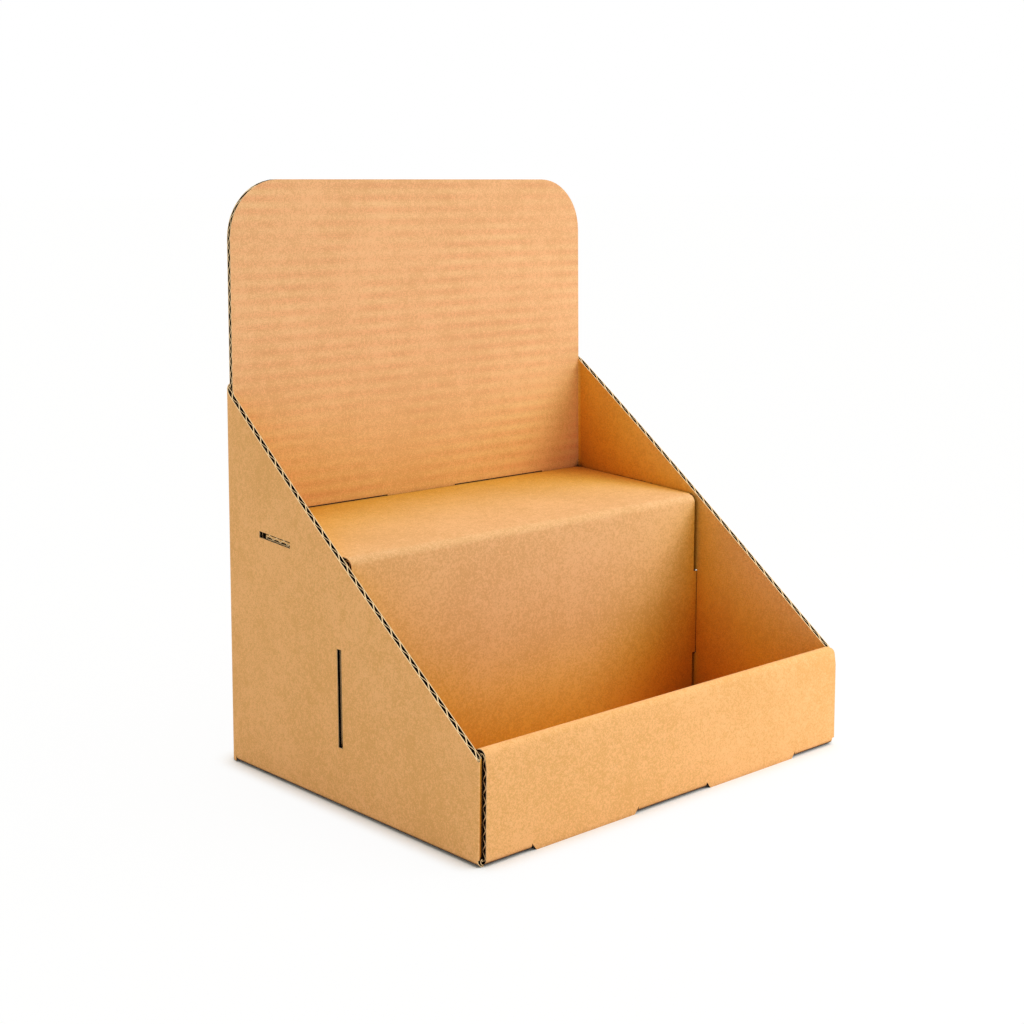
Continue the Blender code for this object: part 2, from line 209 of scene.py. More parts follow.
class Shell:
    """Thin closed layers made of six-sided cells; faces shared by two cells are dropped."""

    def __init__(self):
        self.index = {}
        self.points = []
        self.run = []
        self.wash = []
        self.faces = {}

    def vertex(self, point, run, wash):
        """Returns the number of a point, which leans in with the sides as it rises; the step
        holds them upright halfway along."""
        key = tuple(round(c * WELD_CELLS) for c in point)
        if key not in self.index:
            self.index[key] = len(self.points)
            x, y, z = point
            lean = z * tan(SIDE_LEAN) * (1 - cos(pi / 2 * y / REAR_Y))
            self.points.append((x - copysign(lean, x), y, z))
            self.run.append(run)
            self.wash.append(wash)
        return self.index[key]

    def face(self, ids, material, smooth):
        """Adds a face, or drops the one that is already there."""
        if len(set(ids)) < 3:
            return
        key = tuple(sorted(ids))
        if key in self.faces:
            del self.faces[key]
        else:
            self.faces[key] = (ids, material, smooth)

    def cell(self, outer, inner, extents, runs, wash, place, materials, edge=CUT):
        """One cell between two samples; extents are (low, high) at each of the two."""
        v = []
        for k in range(2):
            for point in (outer[k], inner[k]):
                for along in extents[k]:
                    v.append(self.vertex(place(point[0], point[1], along), runs[k], wash))
        oa, ob, ia, ib, oc, od, ic, id_ = v
        self.face((oa, oc, od, ob), materials[0], True)
        self.face((ia, ib, id_, ic), materials[1], True)
        self.face((oa, ia, ic, oc), edge, False)
        self.face((ob, od, id_, ib), edge, False)
        self.face((oa, ob, ib, ia), edge, False)
        self.face((oc, ic, id_, od), edge, False)

    def object(self, name, slots):
        """Makes the mesh object."""
        mesh = bpy.data.meshes.new(name)
        kept = list(self.faces.values())
        used = sorted({i for ids, m, s in kept for i in ids})
        new = {old: i for i, old in enumerate(used)}
        faces = [list(dict.fromkeys(new[i] for i in ids)) for ids, m, s in kept]
        mesh.from_pydata([self.points[i] for i in used], [], faces)
        for polygon, (ids, m, s) in zip(mesh.polygons, kept):
            polygon.material_index = m
            polygon.use_smooth = s
        for label, values in (("run", self.run), ("wash", self.wash)):
            layer = mesh.attributes.new(label, "FLOAT", "POINT")
            layer.data.foreach_set("value", [values[i] for i in used])
        for material in slots:
            mesh.materials.append(material)
        bm = bmesh.new()
        bm.from_mesh(mesh)
        bmesh.ops.recalc_face_normals(bm, faces=bm.faces)
        bm.to_mesh(mesh)
        bm.free()
        mesh.set_sharp_from_angle(angle=SHARP_ANGLE)
        return add_object(name, mesh)


def add_object(name, data):
    """Makes an object of the data and puts it in the scene."""
    obj = bpy.data.objects.new(name, data)
    bpy.context.scene.collection.objects.link(obj)
    return obj


def offset(row, depth):
    """Returns the point at a depth below the outer face, the board being thinner where crushed."""
    return row.point - row.normal * depth * (1 - row.crush)


def liner(shell, path, near, far, spans, place, wash, materials, edge=CUT):
    """One liner of the board, between two depths."""
    rows = path.rows
    for a, b in zip(rows, rows[1:]):
        outer = (offset(a, near), offset(b, near))
        inner = (offset(a, far), offset(b, far))
        for extents in spans(a, b):
            shell.cell(outer, inner, extents, (a.run, b.run), wash(b.tag), place, materials, edge)


def wave_share(phase):
    """Returns the share of the depth at which the medium lies, for a phase in turns."""
    return 0.5 - asin(WAVE_SHARPNESS * cos(2 * pi * phase)) / (2 * asin(WAVE_SHARPNESS))


def medium(shell, path, spans, place, seed):
    """The wave between the liners, as a ribbon of even thickness."""
    rows = path.rows
    rnd = Random(seed)
    jitter = [rnd.uniform(-WAVE_JITTER, WAVE_JITTER) for _ in range(WAVE_DRAWS)]
    low, high = LINER + MEDIUM / 2 + TOUCH, BOARD - LINER - MEDIUM / 2 - TOUCH
    centre = []
    for row in rows:
        turns = row.run / PITCH
        k = int(turns)
        phase = turns + jitter[k] * (1 - (turns - k)) + jitter[k + 1] * (turns - k)
        centre.append(offset(row, low + (high - low) * wave_share(phase)))
    sides = []
    for i, point in enumerate(centre):
        normal = rows[i].normal
        if 0 < i < len(centre) - 1:
            direction = (centre[i + 1] - centre[i - 1]).normalized()
            square = Vector((direction.y, -direction.x))
            normal = square if square.dot(normal) > 0 else -square
        half = MEDIUM / 2 * (1 - rows[i].crush)
        sides.append((point + normal * half, point - normal * half))
    for i, (a, b) in enumerate(zip(rows, rows[1:])):
        outer = (sides[i][0], sides[i + 1][0])
        inner = (sides[i][1], sides[i + 1][1])
        for extents in spans(a, b):
            shell.cell(outer, inner, extents, (a.run, b.run), 0.0, place, (FLUTE_SHADE, FLUTE_SHADE))


def band(low, high):
    """Returns the extents of a cell that are the same at both samples."""
    return (low, high), (low, high)


def twin(inner, outer):
    """Returns the extents of two mirrored cells."""
    return [band(inner, outer), band(-outer, -inner)]


def tapered(low, high):
    """Returns the extents of a cell from its two low ends and its two high ends."""
    return (low[0], high[0]), (low[1], high[1])


def header_half(z):
    """Returns half the header's width at a height."""
    over = z - (HEADER_HEIGHT - HEADER_RADIUS)
    if over <= 0:
        return PANEL_HALF
    return PANEL_HALF - HEADER_RADIUS + sqrt(max(0.0, HEADER_RADIUS ** 2 - over ** 2))


REAR_SLOT_Z = (shelf_top(BACK_Y) - (BOARD + SLOT_GAP), shelf_top(BACK_OUTER_Y) + REAR_SLOT_SPARE)
NOTCH_BACK = INNER_WALL_BACK + FIT_GAP
LIPS = ((-LIP_OUTER - LIP_SHIFT, -LIP_INNER - LIP_SHIFT),
        (LIP_INNER - LIP_SHIFT, LIP_OUTER - LIP_SHIFT))


def between_lips(half):
    """Returns the extents beside and between the two lips."""
    return [band(-half, LIPS[0][0]), band(LIPS[0][1], LIPS[1][0]), band(LIPS[1][1], half)]


def right_end(row):
    """Returns how far the front wall reaches beside the right side, with its rounded corners."""
    if row.point.x > FRONT_Y + BOARD:
        return FRONT_HALF
    near = min(row.point.y, FRONT_HEIGHT - row.point.y, RIGHT_END_ROUNDING) / RIGHT_END_ROUNDING
    return FRONT_HALF + (RIGHT_END - FRONT_HALF) * sqrt(max(0.0, 1 - (1 - near) ** 2))


def tray_spans(a, b):
    """Extents along X of the sheet that runs from header to base, front wall and inner wall."""
    if b.tag == "header":
        half = [header_half(row.point.y) for row in (a, b)]
        if REAR_SLOT_Z[0] < (a.point.y + b.point.y) / 2 < REAR_SLOT_Z[1]:
            inner, outer = REAR_TAB[0] - SLOT_END_GAP, REAR_TAB[1] + SLOT_END_GAP
            return [band(-inner, inner)] + twin(outer, half[0])
        return [tapered([-h for h in half], half)]
    if b.tag == "rear fold":
        return [band(-BASE_HALF, BASE_HALF)]
    if b.tag == "base":
        if (a.point.x + b.point.x) / 2 < NOTCH_BACK:
            return between_lips(BASE_HALF)
        return [band(-BASE_HALF, BASE_HALF)]
    if b.tag == "front fold":
        return between_lips(FRONT_HALF)
    if b.tag == "tabs":
        return [band(low + TAB_END_GAP, high - TAB_END_GAP) for low, high in LIPS]
    return [tapered((-FRONT_HALF, -FRONT_HALF), [right_end(row) for row in (a, b)])]


def roll_centres():
    """Returns the centres, along the depth and up, of the two bends of the rolled top."""
    rise = ROLL_DROP - FOLD_RADIUS
    first = Vector((FRONT_Y + (FOLD_RADIUS + rise * sin(ROLL_LEAN)) / cos(ROLL_LEAN),
                    FRONT_HEIGHT - FOLD_RADIUS))
    last_y = INNER_WALL_BACK - ROLL_REAR_RADIUS
    growth = ROLL_REAR_RADIUS - FOLD_RADIUS
    fall = (growth + (last_y - first.x) * sin(ROLL_SLOPE)) / cos(ROLL_SLOPE)
    return first, Vector((last_y, first.y - fall))


def tray_path(step, fold_steps):
    """The path of the sheet from the header's top, outside, round to the inner wall's tabs."""
    top_marks = [HEADER_RADIUS * (1 - sin(pi / 2 * i / ARC_STEPS)) for i in range(ARC_STEPS + 1)]
    slot_marks = [HEADER_HEIGHT - z for z in REAR_SLOT_Z]
    path = Path(BACK_OUTER_Y, HEADER_HEIGHT, -pi / 2, -1)
    path.straight(HEADER_HEIGHT - FOLD_RADIUS, "header", step, top_marks + slot_marks)
    path.bend(FOLD_RADIUS, pi / 2, "rear fold", fold_steps, FOLD_CRUSH)
    path.straight(BASE_REAR_Y - FRONT_FOLD_Y, "base", step, [BASE_REAR_Y - NOTCH_BACK])
    path.bend(FOLD_RADIUS, pi / 2, "front fold", fold_steps, FOLD_CRUSH)
    tangent = LEAN_RADIUS * tan(ROLL_LEAN / 2)
    path.straight(ROLL_START - tangent - FOLD_RADIUS, "front", step)
    path.bend(LEAN_RADIUS, ROLL_LEAN, "roll", LEAN_STEPS)
    first, last = roll_centres()
    rise = first.y - ROLL_START + FOLD_RADIUS * sin(ROLL_LEAN)
    path.straight(rise / cos(ROLL_LEAN) - tangent, "roll", step)
    path.bend(FOLD_RADIUS, pi / 2 + ROLL_SLOPE - ROLL_LEAN, "roll",
              fold_steps + ROLL_MORE_STEPS, ROLL_FRONT_CRUSH)
    apart = last - first
    path.straight(apart.x * cos(ROLL_SLOPE) - apart.y * sin(ROLL_SLOPE), "roll", step)
    path.bend(ROLL_REAR_RADIUS, pi / 2 - ROLL_SLOPE, "roll", fold_steps, ROLL_REAR_CRUSH)
    path.straight(last.y - BOARD - FIT_GAP, "inner wall", step)
    path.straight(BOARD + FIT_GAP - EDGE_LIFT, "tabs", step)
    return path


def lip_spans(a, b):
    """Extents along X of the two lips under the front wall, which taper towards the ground."""
    taper = [LIP_TAPER * (1 - row.point.y / FOLD_RADIUS) for row in (a, b)]
    return [tapered([low + t for t in taper], [high - t for t in taper]) for low, high in LIPS]


def lip_path(step, fold_steps):
    """The path of the lips."""
    path = Path(FRONT_Y, 0.0, pi / 2, -1)
    path.straight(FOLD_RADIUS, "lip", step)
    return path


VERTICAL_SLOT_Y = (STEP_FRONT - SLOT_GAP, STEP_FRONT + BOARD + SLOT_GAP)
VERTICAL_SLOT_Z = (RISER_TAB[0] - SLOT_END_GAP, RISER_TAB[1] + SLOT_END_GAP)
WINDOW_FRONT = SHELF_TAB[0] - SLOT_END_GAP
UNDER = BOARD + WINDOW_GAP
LEFT_WINDOWS = ((WINDOW_FRONT, SHELF_TAB[1] + SHELF_SLOT_SPARE, UNDER, WINDOW_GAP),)
RIGHT_WINDOWS = ((*RIGHT_SLIT_Y, WINDOW_GAP, RIGHT_SLIT_GAP),
                 (WINDOW_FRONT, SHELF_TAB[1] + SLOT_END_GAP, UNDER, RIGHT_WINDOW_GAP))
SIDE_END_Y = REAR_Y - REAR_CORNER_RADIUS


def side_edge(y):
    """Returns the height of the sloping edge of the side panels."""
    share = (y - SIDE_FRONT_Y) / (SIDE_REAR_Y - SIDE_FRONT_Y)
    return SIDE_FRONT_HEIGHT + share * (SIDE_REAR_HEIGHT - SIDE_FRONT_HEIGHT)


def side_spans(a, b, windows):
    """Extents along Z of a side panel with its two flaps; windows are the openings along the
    shelf, each with its front and rear end and how far it reaches below and above the shelf."""
    edge = [side_edge(row.point.y) for row in (a, b)]
    if b.tag == "front flap":
        free = HALF_WIDTH - FRONT_FLAP_WIDTH + FLAP_CHAMFER
        cut = [max(0.0, free - row.point.x) for row in (a, b)]
        return [tapered([FLAP_LOW + c for c in cut], [FLAP_TOP - c for c in cut])]
    if b.tag == "front corner":
        return [band(FOLD_RADIUS, FLAP_TOP), tapered((FLAP_TOP, FLAP_TOP), edge)]
    if b.tag == "rear corner":
        return [tapered((EDGE_LIFT, EDGE_LIFT), edge)]
    if b.tag == "rear flap":
        free = HALF_WIDTH - REAR_FLAP_WIDTH + FLAP_CHAMFER
        cut = [max(0.0, free - row.point.x) for row in (a, b)]
        return [tapered([EDGE_LIFT + c for c in cut], [side_edge(REAR_Y) - c for c in cut])]
    middle = (a.point.y + b.point.y) / 2
    low = EDGE_LIFT if middle > BASE_REAR_Y + REAR_RELIEF else FOLD_RADIUS
    if VERTICAL_SLOT_Y[0] < middle < VERTICAL_SLOT_Y[1]:
        return [band(low, VERTICAL_SLOT_Z[0]), tapered((VERTICAL_SLOT_Z[1],) * 2, edge)]
    for front, rear, below, above in windows:
        if front < middle < rear:
            under = [shelf_top(row.point.y) - below for row in (a, b)]
            over = [shelf_top(row.point.y) + above for row in (a, b)]
            return [tapered((low, low), under), tapered(over, edge)]
    return [tapered((low, low), edge)]


def left_spans(a, b):
    """Extents of the left side."""
    return side_spans(a, b, LEFT_WINDOWS)


def right_spans(a, b):
    """Extents of the right side."""
    return side_spans(a, b, RIGHT_WINDOWS)


def pinched_corner(path, step, fold_steps):
    """Takes a side's path round a sharp corner that comes forward of the front flap."""
    rounding = (TURN_IN_RADIUS + CORNER_RADIUS) * (1 - cos(CORNER_TURN))
    slant = (FLAP_Y - CORNER_Y - rounding) / sin(CORNER_TURN)
    reach = (TURN_IN_RADIUS + CORNER_RADIUS) * sin(CORNER_TURN) + CORNER_RADIUS
    reach += slant * cos(CORNER_TURN)
    path.straight(FRONT_FLAP_WIDTH - reach, "front flap", step, [FLAP_CHAMFER])
    path.bend(-TURN_IN_RADIUS, -CORNER_TURN, "front corner", TURN_IN_STEPS)
    path.straight(slant, "front corner", step)
    path.bend(CORNER_RADIUS, pi / 2 + CORNER_TURN, "front corner", fold_steps)
    path.rows = [row._replace(crush=CORNER_CRUSH) if row.tag == "front corner" else row
                 for row in path.rows]


def round_corner(path, step, fold_steps):
    """Takes a side's path round a plain folded corner."""
    path.straight(FRONT_FLAP_WIDTH - FOLD_RADIUS, "front flap", step, [FLAP_CHAMFER])
    path.bend(FOLD_RADIUS, pi / 2, "front corner", fold_steps, FOLD_CRUSH)


def side_path(corner, windows, step, fold_steps):
    """The path of a side in plan, drawn for the right: front flap, side panel, rear flap."""
    path = Path(HALF_WIDTH - FRONT_FLAP_WIDTH, FLAP_Y, 0.0)
    corner(path, step, fold_steps)
    start = path.point.y
    ends = [y for window in windows for y in window[:2]]
    places = (*VERTICAL_SLOT_Y, *ends, BASE_REAR_Y + REAR_RELIEF)
    marks = [y - start for y in places] + [CORNER_MARK]
    path.straight(SIDE_END_Y - start, "side", step, marks)
    path.bend(REAR_CORNER_RADIUS, pi / 2, "rear corner", fold_steps)
    path.straight(REAR_FLAP_WIDTH - REAR_CORNER_RADIUS, "rear flap", step,
                  [REAR_FLAP_WIDTH - REAR_CORNER_RADIUS - FLAP_CHAMFER])
    return path


def left_side_path(step, fold_steps):
    """The path of the left side, to be placed mirrored."""
    return side_path(pinched_corner, LEFT_WINDOWS, step, fold_steps)


def right_side_path(step, fold_steps):
    """The path of the right side."""
    return side_path(round_corner, RIGHT_WINDOWS, step, fold_steps)


def fold_path(step, fold_steps):
    """The path of the bottom fold of the right side, drawn in X and Z."""
    path = Path(BASE_HALF, 0.0, 0.0)
    path.bend(FOLD_RADIUS, pi / 2, "side fold", fold_steps, SIDE_FOLD_CRUSH)
    return path


def fold_spans(a, b):
    """Extents along Y of the bottom fold of the right side."""
    return [band(FRONT_FOLD_Y, BASE_REAR_Y)]


def left_fold_spans(a, b):
    """Extents along Y of the bottom fold of the left side."""
    return [band(CORNER_Y + FIT_GAP, BASE_REAR_Y)]


SHELF_LENGTHS = [(y - SHELF_Y) / cos(STEP_SLOPE) for y in SHELF_TAB]


def step_spans(a, b):
    """Extents along X of the step insert."""
    if b.tag == "riser":
        tab = RISER_TAB[0] < (a.point.y + b.point.y) / 2 < RISER_TAB[1]
        return [band(-RISER_TAB_END, RISER_TAB_END) if tab else band(-LEFT_RISER_HALF, RISER_HALF)]
    travels = [a.travel if a.tag == b.tag else 0.0, b.travel]
    if b.tag == "step fold":
        left = [-LEFT_RISER_HALF - (LEFT_FOLD_HALF - LEFT_RISER_HALF) * t ** 2 for t in travels]
        return [tapered(left, (RISER_HALF, RISER_HALF))]
    if b.tag == "rear tabs":
        return twin(*REAR_TAB)
    if SHELF_LENGTHS[0] < sum(travels) / 2 < SHELF_LENGTHS[1]:
        return [band(-SHELF_TAB_END, SHELF_TAB_END)]
    halves = []
    for corner, start in ((LEFT_STEP_CORNER, LEFT_FOLD_HALF), (STEP_CORNER, RISER_HALF)):
        shares = [min(1.0, travel / corner) for travel in travels]
        halves.append([start + (SHELF_HALF - start) * sqrt(1 - (1 - share) ** 2)
                       for share in shares])
    return [tapered([-h for h in halves[0]], halves[1])]


def step_path(step, fold_steps):
    """The path of the insert: riser, fold, shelf and the tabs at its rear edge."""
    low = BOARD + FIT_GAP
    path = Path(STEP_FRONT, low, pi / 2, -1)
    path.straight(STEP_HEIGHT - STEP_RADIUS - low, "riser", step, [z - low for z in RISER_TAB])
    path.bend(STEP_RADIUS, pi / 2 - STEP_SLOPE, "step fold",
              fold_steps + STEP_FOLD_MORE_STEPS, STEP_FOLD_CRUSH)
    length = (BACK_Y - FIT_GAP - SHELF_Y) / cos(STEP_SLOPE)
    corner = [LEFT_STEP_CORNER * (1 - cos(pi / 2 * i / ARC_STEPS)) for i in range(1, ARC_STEPS + 1)]
    path.straight(length, "shelf", step, SHELF_LENGTHS + corner + [STEP_CORNER])
    tabs_end = (BACK_OUTER_Y - REAR_TAB_RECESS - SHELF_Y) / cos(STEP_SLOPE)
    path.straight(tabs_end - length, "rear tabs", step)
    return path


def wash(tag):
    """Returns how strongly the flutes show through a part of the board: as a bump, as stripes of
    painted shade, and as less painted shade in recesses.
    """
    return {"header": 1.0, "front": 0.1, "base": 0.3, "side": 0.06, "shelf": 0.12}.get(tag, 0.05)


def in_x(a, b, along):
    """Places a point of a path drawn in Y and Z."""
    return along, a, b


def right_plan(a, b, along):
    """Places a point of a path drawn in plan."""
    return a, b, along


def left_plan(a, b, along):
    """Places the mirror image of a point of a path drawn in plan."""
    return -a, b, along


def right_section(a, b, along):
    """Places a point of a path drawn in X and Z."""
    return a, along, b


def left_section(a, b, along):
    """Places the mirror image of a point of a path drawn in X and Z."""
    return -a, along, b


def tab_core_spans(a, b):
    """Extents along X of the crushed core at the ends of the two shelf tabs."""
    length = a.travel if a.tag == b.tag else 0.0
    if b.tag == "shelf" and SHELF_LENGTHS[0] < (length + b.travel) / 2 < SHELF_LENGTHS[1]:
        return twin(SHELF_TAB_END - TAB_CORE, SHELF_TAB_END)
    return []


def board(name, parts, slots):
    """Makes the liners and the medium of a folded sheet as two objects; the step's medium gets
    the crushed core of its shelf tabs as well."""
    liners, wave = Shell(), Shell()
    for seed, (make_path, spans, place) in enumerate(parts):
        coarse = make_path(PITCH, LINER_FOLD_STEPS)
        fine = make_path(PITCH / WAVE_STEPS, WAVE_FOLD_STEPS)
        liner(liners, coarse, 0.0, LINER, spans, place, wash, (FACE, FLUTE_SHADE))
        liner(liners, coarse, BOARD - LINER, BOARD, spans, place, wash, (FLUTE_SHADE, BACK_FACE))
        medium(wave, fine, spans, place, seed)
    if name == "step":
        liner(wave, step_path(PITCH, LINER_FOLD_STEPS), *TAB_CORE_DEPTHS, tab_core_spans, in_x,
              wash, (FLUTE_SHADE, FLUTE_SHADE), FACE)
    return liners.object(name + "_liners", slots), wave.object(name + "_fluting", slots)


# Materials: noise scales per metre, heights of the grain in metres, and colours
GRAIN, FLOCK, MOTTLE, CLOUD = 1500.0, 620.0, 190.0, 26.0
FIBRE, PATCH, SPECK, UNEVEN = 420.0, 330.0, 210.0, 30.0
CUT_GRAIN, FLUTING_GRAIN = 3000.0, 1500.0
GRAIN_SHARE, FLOCK_SHARE, MOTTLE_SHARE, CLOUD_SHARE = 0.75, 0.35, 0.25, 0.25
TONE_RANGE = (0.735, 0.865)
FIBRE_WIDTH = 0.012
PATCH_RANGE, PATCH_SHARE = (0.52, 0.66), 0.35
SPECK_RANGE, SPECK_PICK, SPECK_SHARE = (0.05, 0.09), (0.84, 0.90), 0.28
UNEVEN_RANGE, LEAST_RIPPLE = (0.35, 0.65), 0.2
PAPER_RANGE = (0.35, 0.65)
# Strength of the stripes of painted shade along the ripples over the flutes
RIPPLE_SHADE_TONE = 0.05
RIPPLE_HEIGHT, GRAIN_HEIGHT, FLOCK_HEIGHT = 0.00003, 0.00004, 0.00004
PALE_FIBRE = (0.98, 0.72, 0.46, 1.0)
DARK_SPECK = (0.30, 0.13, 0.035, 1.0)
WHITE = (1.0, 1.0, 1.0, 1.0)

# How far around a place its openness is looked at (for the painted shade in recesses and crevices,
# and for the floor), and how much less painted shade strongly rippled board gets
WIDE_SHADE_REACH = 0.09
CREVICE_SHADOW_REACH = 0.006
FLOOR_REACH = 0.012
RIPPLED_SHADE_EASE = 0.50


def node(tree, kind, inputs=None, **settings):
    """Adds a shader node; inputs maps a socket's name or number to a value or another socket."""
    made = tree.nodes.new(kind)
    for key, value in settings.items():
        setattr(made, key, value)
    for key, value in (inputs or {}).items():
        if isinstance(value, bpy.types.NodeSocket):
            tree.links.new(value, made.inputs[key])
        else:
            made.inputs[key].default_value = value
    return made


def maths(tree, operation, a, b=0.0, c=0.0):
    """Adds a sum or another operation on up to three values."""
    made = node(tree, "ShaderNodeMath", {0: a, 1: b, 2: c}, operation=operation)
    return made.outputs[0]


def noise(tree, coords, scale, detail=2.0, rough=0.5, distort=0.0):
    """Adds a noise, which lies round a half."""
    made = node(tree, "ShaderNodeTexNoise", {"Vector": coords, "Scale": scale, "Detail": detail,
                                             "Roughness": rough, "Distortion": distort})
    return made.outputs["Fac"]


def spread(tree, value, low, high, out_low, out_high):
    """Maps the values between low and high to another range."""
    made = node(tree, "ShaderNodeMapRange", {"Value": value, "From Min": low, "From Max": high,
                                             "To Min": out_low, "To Max": out_high})
    return made.outputs["Result"]


def mix(tree, factor, a, b, blend="MIX"):
    """Blends two colours."""
    made = tree.nodes.new("ShaderNodeMix")
    made.data_type = "RGBA"
    made.blend_type = blend
    for socket, value in zip((made.inputs[0], made.inputs[6], made.inputs[7]), (factor, a, b)):
        if isinstance(value, bpy.types.NodeSocket):
            tree.links.new(value, socket)
        else:
            socket.default_value = value
    return made.outputs[2]


# Painted shade in recesses: tones multiplied into the colour, darker and deeper orange the more
# closed in a place is, down to near black
WIDE_PAINTED_SHADE = ((0.10, (0.12, 0.035, 0.002, 1.0)), (0.35, (0.84, 0.44, 0.002, 1.0)),
               (0.55, (0.95, 0.90, 0.14, 1.0)), (0.80, (1.0, 1.02, 0.84, 1.0)),
               (0.98, WHITE))
# Painted shadow in crevices, gaps and under folds: near black where a place is closed in within a
# few millimetres
CREVICE_PAINTED_SHADOW = ((0.30, (0.01, 0.004, 0.001, 1.0)), (0.42, (0.40, 0.28, 0.17, 1.0)),
           (0.54, WHITE))


def painted_recess_shade(tree, distance, stops):
    """Returns a painted shade: a tone that is white in the open and darker in recesses, where shade
    would fall; stops pair how open a place is within the distance with its tone."""
    open_share = node(tree, "ShaderNodeAmbientOcclusion", {"Distance": distance}, samples=8)
    ramp = tree.nodes.new("ShaderNodeValToRGB")
    tree.links.new(open_share.outputs["AO"], ramp.inputs["Fac"])
    for position, colour in stops[:-2]:
        ramp.color_ramp.elements.new(position)
    for element, (position, colour) in zip(ramp.color_ramp.elements, stops):
        element.position, element.color = position, colour
    return ramp.outputs["Color"]


def start_material(name):
    """Makes a material; returns it with its tree, its shader and the object's coordinates."""
    material = bpy.data.materials.new(name)
    material.use_nodes = True
    tree = material.node_tree
    where = node(tree, "ShaderNodeTexCoord").outputs["Object"]
    return material, tree, tree.nodes["Principled BSDF"], where


def kraft(name, colour, deep, shaded_in_recesses):
    """Unbleached liner: fibre grain, mottling, specks and ripples over the flutes, with stripes of
    painted shade along the ripples and painted shadow in crevices; the recess flag adds painted
    shade that deepens it in corners and recesses."""
    material, tree, shader, where = start_material(name)
    grain = noise(tree, where, GRAIN, 3.0, 0.6)
    flock = noise(tree, where, FLOCK, 3.0, 0.6, 0.4)
    mottle = noise(tree, where, MOTTLE, 4.0, 0.6, 0.6)
    cloud = noise(tree, where, CLOUD, 3.0, 0.5)
    tone = maths(tree, "MULTIPLY", flock, FLOCK_SHARE)
    tone = maths(tree, "MULTIPLY_ADD", grain, GRAIN_SHARE, tone)
    tone = maths(tree, "MULTIPLY_ADD", mottle, MOTTLE_SHARE, tone)
    tone = maths(tree, "MULTIPLY_ADD", cloud, CLOUD_SHARE, tone)
    base = mix(tree, spread(tree, tone, *TONE_RANGE, 0.0, 1.0), deep, colour)
    off_middle = maths(tree, "SUBTRACT", noise(tree, where, FIBRE, 2.0, 0.5, 2.0), 0.5)
    fibre = spread(tree, maths(tree, "ABSOLUTE", off_middle), 0.0, FIBRE_WIDTH, 1.0, 0.0)
    patch = spread(tree, noise(tree, where, PATCH), *PATCH_RANGE, 0.0, PATCH_SHARE)
    base = mix(tree, maths(tree, "MULTIPLY", fibre, patch), base, PALE_FIBRE)
    cells = node(tree, "ShaderNodeTexVoronoi", {"Vector": where, "Scale": SPECK})
    pick = node(tree, "ShaderNodeSeparateColor", {0: cells.outputs["Color"]})
    near = spread(tree, cells.outputs["Distance"], *SPECK_RANGE, 1.0, 0.0)
    picked = spread(tree, pick.outputs[0], *SPECK_PICK, 0.0, SPECK_SHARE)
    base = mix(tree, maths(tree, "MULTIPLY", near, picked), base, DARK_SPECK)
    run = node(tree, "ShaderNodeAttribute", attribute_name="run").outputs["Fac"]
    strength = node(tree, "ShaderNodeAttribute", attribute_name="wash").outputs["Fac"]
    wave = maths(tree, "COSINE", maths(tree, "MULTIPLY", run, 2 * pi / PITCH))
    uneven = spread(tree, noise(tree, where, UNEVEN, 2.0), *UNEVEN_RANGE, LEAST_RIPPLE, 1.0)
    ripple = maths(tree, "MULTIPLY", maths(tree, "MULTIPLY", wave, uneven), strength)
    # Stripes of painted shade along the ripples, beside their bump
    base = mix(tree, 1.0, base, maths(tree, "MULTIPLY_ADD", ripple, RIPPLE_SHADE_TONE, 0.5), "OVERLAY")
    # Painted shade in recesses, less of it where the board is strongly rippled
    if shaded_in_recesses:
        share = maths(tree, "MULTIPLY_ADD", strength, -RIPPLED_SHADE_EASE, 1.0)
        base = mix(tree, share, base, painted_recess_shade(tree, WIDE_SHADE_REACH, WIDE_PAINTED_SHADE), "MULTIPLY")
    # Painted shadow in crevices, gaps and under folds, on every liner
    base = mix(tree, 1.0, base, painted_recess_shade(tree, CREVICE_SHADOW_REACH, CREVICE_PAINTED_SHADOW), "MULTIPLY")
    tree.links.new(base, shader.inputs["Base Color"])
    shader.inputs["Roughness"].default_value = 0.82
    shader.inputs["Specular IOR Level"].default_value = 0.25
    height = maths(tree, "MULTIPLY", grain, GRAIN_HEIGHT)
    height = maths(tree, "MULTIPLY_ADD", ripple, RIPPLE_HEIGHT, height)
    height = maths(tree, "MULTIPLY_ADD", flock, FLOCK_HEIGHT, height)
    bump = node(tree, "ShaderNodeBump", {"Height": height, "Strength": 0.6, "Distance": 1.0})
    tree.links.new(bump.outputs["Normal"], shader.inputs["Normal"])
    return material


def paper(name, colour, deep, scale):
    """Cut edges and fluting: bare fibre with a coarse grain, with painted shadow in crevices; the
    near-black colours given for the fluting are painted shade.
    """
    material, tree, shader, where = start_material(name)
    grain = spread(tree, noise(tree, where, scale, 4.0, 0.6), *PAPER_RANGE, 0.0, 1.0)
    base = mix(tree, grain, deep, colour)
    # Painted shadow in crevices
    base = mix(tree, 1.0, base, painted_recess_shade(tree, CREVICE_SHADOW_REACH, CREVICE_PAINTED_SHADOW), "MULTIPLY")
    tree.links.new(base, shader.inputs["Base Color"])
    shader.inputs["Roughness"].default_value = 0.9
    shader.inputs["Specular IOR Level"].default_value = 0.15
    bump = node(tree, "ShaderNodeBump", {"Height": grain, "Strength": 0.5, "Distance": 0.00006})
    tree.links.new(bump.outputs["Normal"], shader.inputs["Normal"])
    return material


outside = kraft("kraft_outside", (0.90, 0.485, 0.198, 1.0), (0.76, 0.395, 0.130, 1.0), False)
